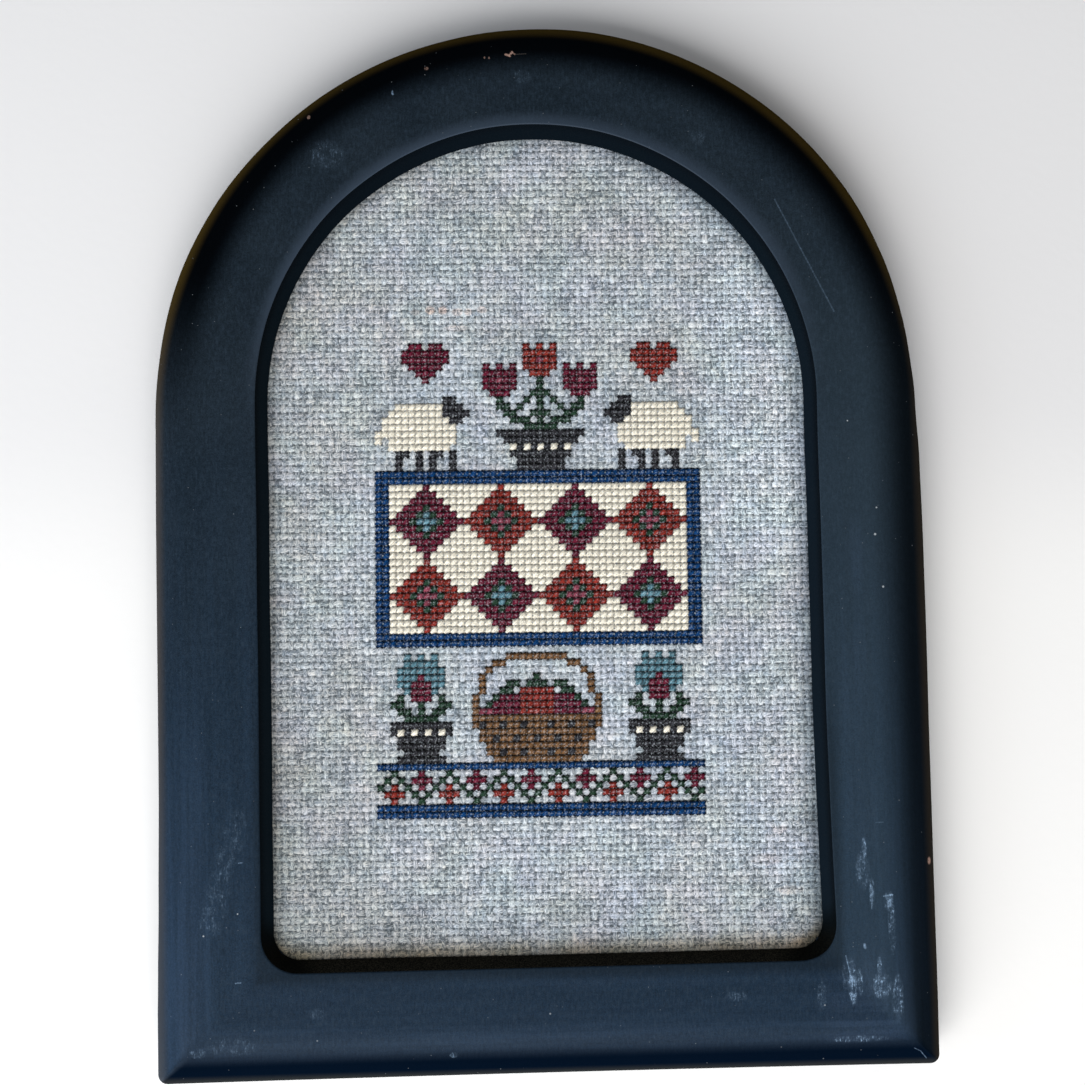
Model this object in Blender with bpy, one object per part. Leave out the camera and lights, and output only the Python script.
"""Framed cross stitch sampler: an arched wooden frame, the evenweave cloth behind its lip, and
the board that backs the cloth.

The frame lies on its back. +Z points out of its face, +Y points to the top of the arch, and the
origin is the middle of the frame's bounding box, at its back. Metres throughout.
"""

import math

import bmesh
import bpy

# Driving dimensions, in metres.
FRAME_WIDTH = 0.205
FRAME_LENGTH = 0.280
FRAME_DEPTH = 0.017
SIDE_RAIL = 0.030  # moulding from its outer edge to the cloth, at the sides and round the arch
FOOT_RAIL = 0.031  # the same along the straight foot
FOOT_CORNER = 0.0025  # radius of the two outer corners at the foot, seen from the front
ROUNDOVER_WIDTH = 0.014  # the outer edge falls away in a quarter of an ellipse
ROUNDOVER_DROP = 0.0055
BACK_ARRIS = 0.0006  # small bevel round the back
LIP_DEPTH = 0.0055  # thickness of the wood that overlaps the cloth
LIP_RUN = 0.0028  # how far the lip's wall leans in from the face down to the cloth
ARRIS = 0.0006  # rounding where the face turns down into the lip's wall
SIGHT_CORNER = 0.007  # radius of the window's two lower corners, at the cloth
REBATE_LAP = 0.006  # how far the rebate reaches behind the lip
CLOTH_THICKNESS = 0.0012
BOARD_THICKNESS = 0.006
CLEARANCE = 0.0003  # gap between pieces that lie against each other

# How finely the curves are divided.
ARCH_STEPS = 60
CORNER_STEPS = 6
ROUNDOVER_STEPS = 10
ARRIS_STEPS = 3

# Worked out from the above.
ARCH_RADIUS = FRAME_WIDTH / 2
ARCH_CENTRE_Y = FRAME_LENGTH / 2 - ARCH_RADIUS
OUTER_FOOT_Y = -FRAME_LENGTH / 2
SIGHT_HALF = ARCH_RADIUS - SIDE_RAIL
SIGHT_FOOT_Y = OUTER_FOOT_Y + FOOT_RAIL
LIP_BACK = FRAME_DEPTH - LIP_DEPTH
CLOTH_TOP = LIP_BACK - CLEARANCE
CLOTH_BOTTOM = CLOTH_TOP - CLOTH_THICKNESS
BOARD_TOP = CLOTH_BOTTOM - CLEARANCE
BOARD_BOTTOM = BOARD_TOP - BOARD_THICKNESS

SHARP = math.radians(35)  # faces that meet at more than this keep a sharp edge
OVERSHOOT = 0.003  # how far cutters run past the faces that they cut
MERGE = 0.00001  # points this near each other become one


def clear_scene():
    for item in list(bpy.data.objects):
        bpy.data.objects.remove(item)


def new_collection(name):
    group = bpy.data.collections.new(name)
    bpy.context.scene.collection.children.link(group)
    return group


def make_material(name, colour, roughness):
    material = bpy.data.materials.new(name)
    material.use_nodes = True
    shader = material.node_tree.nodes["Principled BSDF"]
    shader.inputs["Base Color"].default_value = (*colour, 1.0)
    shader.inputs["Roughness"].default_value = roughness
    shader.inputs["Metallic"].default_value = 0.0
    return material


def arc(centre, radius, start, end, steps):
    """Points along an arc, both ends included; the angles are in degrees."""
    points = []
    for step in range(steps + 1):
        angle = math.radians(start + (end - start) * step / steps)
        x = centre[0] + radius * math.cos(angle)
        y = centre[1] + radius * math.sin(angle)
        points.append((x, y))
    return points


def arch_outline(half_width, foot_y, corner):
    """A half circle on two straight sides and a foot whose corners are rounded, anticlockwise."""
    left = (corner - half_width, foot_y + corner)
    right = (half_width - corner, foot_y + corner)
    return [
        *arc((0.0, ARCH_CENTRE_Y), half_width, 0, 180, ARCH_STEPS),
        *arc(left, corner, 180, 270, CORNER_STEPS),
        *arc(right, corner, 270, 360, CORNER_STEPS),
    ]


def window_outline(growth):
    """The window's outline at the cloth, grown outwards on every side."""
    return arch_outline(SIGHT_HALF + growth, SIGHT_FOOT_Y - growth, SIGHT_CORNER + growth)


def outer_outline(inset):
    """The frame's outer outline, moved inwards; its foot corners shrink to sharp mitres."""
    corner = max(FOOT_CORNER - inset, 0.0)
    return arch_outline(ARCH_RADIUS - inset, OUTER_FOOT_Y + inset, corner)


def frame_sections():
    """Up the frame's outside: the eased back edge, the wall, and the roundover to the face."""
    wall_top = FRAME_DEPTH - ROUNDOVER_DROP
    sections = [(0.0, outer_outline(BACK_ARRIS)), (BACK_ARRIS, outer_outline(0.0))]
    for step in range(ROUNDOVER_STEPS + 1):
        angle = math.pi / 2 * step / ROUNDOVER_STEPS
        inset = ROUNDOVER_WIDTH * (1 - math.cos(angle))
        sections.append((wall_top + ROUNDOVER_DROP * math.sin(angle), outer_outline(inset)))
    return sections


def window_sections():
    """Down through the window: the mouth, its rounded arris, the leaning wall and out behind."""
    slope = math.atan2(LIP_DEPTH, LIP_RUN)
    mouth = LIP_RUN + ARRIS * math.tan(slope / 2)
    sections = [(FRAME_DEPTH + OVERSHOOT, window_outline(mouth))]
    for step in range(ARRIS_STEPS + 1):
        angle = slope * step / ARRIS_STEPS
        fall = ARRIS * (1 - math.cos(angle))
        growth = mouth - ARRIS * math.sin(angle)
        sections.append((FRAME_DEPTH - fall, window_outline(growth)))
    sections.append((LIP_BACK, window_outline(0.0)))
    sections.append((LIP_BACK - OVERSHOOT, window_outline(0.0)))
    return sections


def loft(name, sections, group):
    """Extrudes a face from section to section. A section is a height and an outline."""
    shape = bmesh.new()
    station = shape.verts.layers.int.new("station")
    first_z, first_outline = sections[0]
    corners = [shape.verts.new((x, y, first_z)) for x, y in first_outline]
    for number, corner in enumerate(corners):
        corner[station] = number
    base = shape.faces.new(corners)
    end = base
    for z, outline in sections[1:]:
        raised = bmesh.ops.extrude_face_region(shape, geom=[end])["geom"]
        if end is not base:
            bmesh.ops.delete(shape, geom=[end], context="FACES_ONLY")
        end = next(item for item in raised if isinstance(item, bmesh.types.BMFace))
        for corner in end.verts:
            corner.co = (*outline[corner[station]], z)
    bmesh.ops.remove_doubles(shape, verts=shape.verts, dist=MERGE)
    bmesh.ops.recalc_face_normals(shape, faces=shape.faces)
    mesh = bpy.data.meshes.new(name)
    shape.to_mesh(mesh)
    shape.free()
    mesh.shade_smooth()
    mesh.set_sharp_from_angle(angle=SHARP)
    item = bpy.data.objects.new(name, mesh)
    group.objects.link(item)
    return item


def subtract(item, cutter):
    cutter.hide_render = True
    cutter.display_type = "WIRE"
    cut = item.modifiers.new(f"cut {cutter.name}", "BOOLEAN")
    cut.operation = "DIFFERENCE"
    cut.solver = "EXACT"
    cut.object = cutter


def make_frame(group, cutters):
    """The moulding: rounded outside, flat on its face and back, with a lip over the cloth."""
    frame = loft("frame", frame_sections(), group)
    subtract(frame, loft("window", window_sections(), cutters))
    rebate = window_outline(REBATE_LAP)
    subtract(frame, loft("rebate", [(-OVERSHOOT, rebate), (LIP_BACK, rebate)], cutters))
    return frame


def make_sheet(name, bottom, top, group):
    """A flat piece that lies in the rebate with clearance all round."""
    outline = window_outline(REBATE_LAP - CLEARANCE)
    return loft(name, [(bottom, outline), (top, outline)], group)


def main():
    clear_scene()
    group = new_collection("framed_sampler")
    cutters = new_collection("cutters")

    frame = make_frame(group, cutters)
    frame.data.materials.append(make_material("painted_wood", (0.017, 0.027, 0.047), 0.42))

    cloth = make_sheet("cloth", CLOTH_BOTTOM, CLOTH_TOP, group)
    cloth.data.materials.append(make_material("evenweave", (0.41, 0.44, 0.47), 0.95))

    board = make_sheet("backing_board", BOARD_BOTTOM, BOARD_TOP, group)
    board.data.materials.append(make_material("fibreboard", (0.30, 0.20, 0.115), 0.85))


main()
